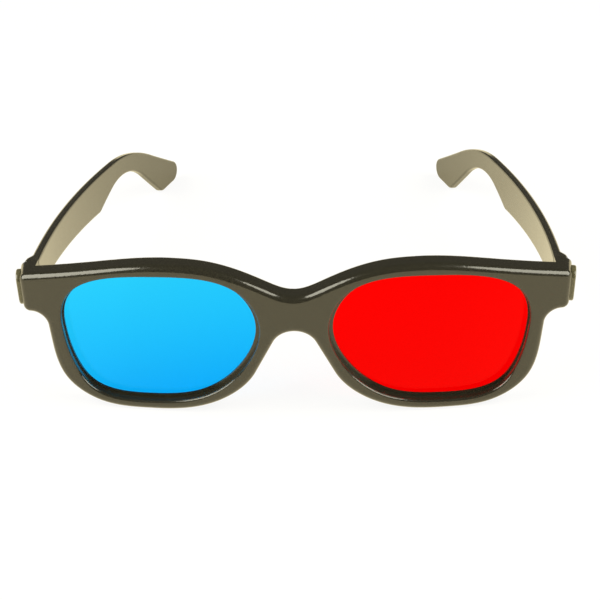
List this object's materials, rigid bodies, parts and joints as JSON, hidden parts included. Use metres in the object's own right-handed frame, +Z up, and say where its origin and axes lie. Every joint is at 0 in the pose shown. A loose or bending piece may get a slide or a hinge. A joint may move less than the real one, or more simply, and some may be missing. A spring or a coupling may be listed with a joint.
{
  "type": "3d glasses",
  "caption": "Black plastic anaglyph 3D glasses with a red and a cyan filter lens, a rounded nose arch and folding bowed arms with drooping ear hooks.",
  "frame": {"origin": "On the table plane under the glasses, in the middle of their outer width and length; the glasses stand on the lens rims and the ear tips.", "axes": "X runs across the glasses to the wearer's left, Y from the front to the ear tips, Z up."},
  "size_m": [0.1528, 0.1638, 0.046],
  "materials": {
    "frame_plastic": "moulded gloss",
    "red_filter": "clear tinted sheet",
    "cyan_filter": "clear tinted sheet",
    "screw_steel": "plain steel",
    "cap_plastic": "polished black plastic"
  },
  "bodies": {
    "front": {"front_shell": "frame_plastic", "rear_shell": "frame_plastic", "lens_red_left": "red_filter", "lens_cyan_right": "cyan_filter", "hinge_screw_left": "screw_steel", "hinge_screw_right": "screw_steel", "side_cap_left": "cap_plastic", "side_cap_right": "cap_plastic"},
    "left_arm": {"arm_left": "frame_plastic"},
    "right_arm": {"arm_right": "frame_plastic"}
  },
  "joints": [
    {"name": "left_arm_fold", "type": "hinge", "parent": "front", "child": "left_arm", "pos_m": [0.0678, -0.06392, 0.03255], "axis": [0, 0, 1], "range_deg": [0, 86]},
    {"name": "right_arm_fold", "type": "hinge", "parent": "front", "child": "right_arm", "pos_m": [-0.0678, -0.06392, 0.03255], "axis": [0, 0, -1], "range_deg": [0, 82]}
  ]
}
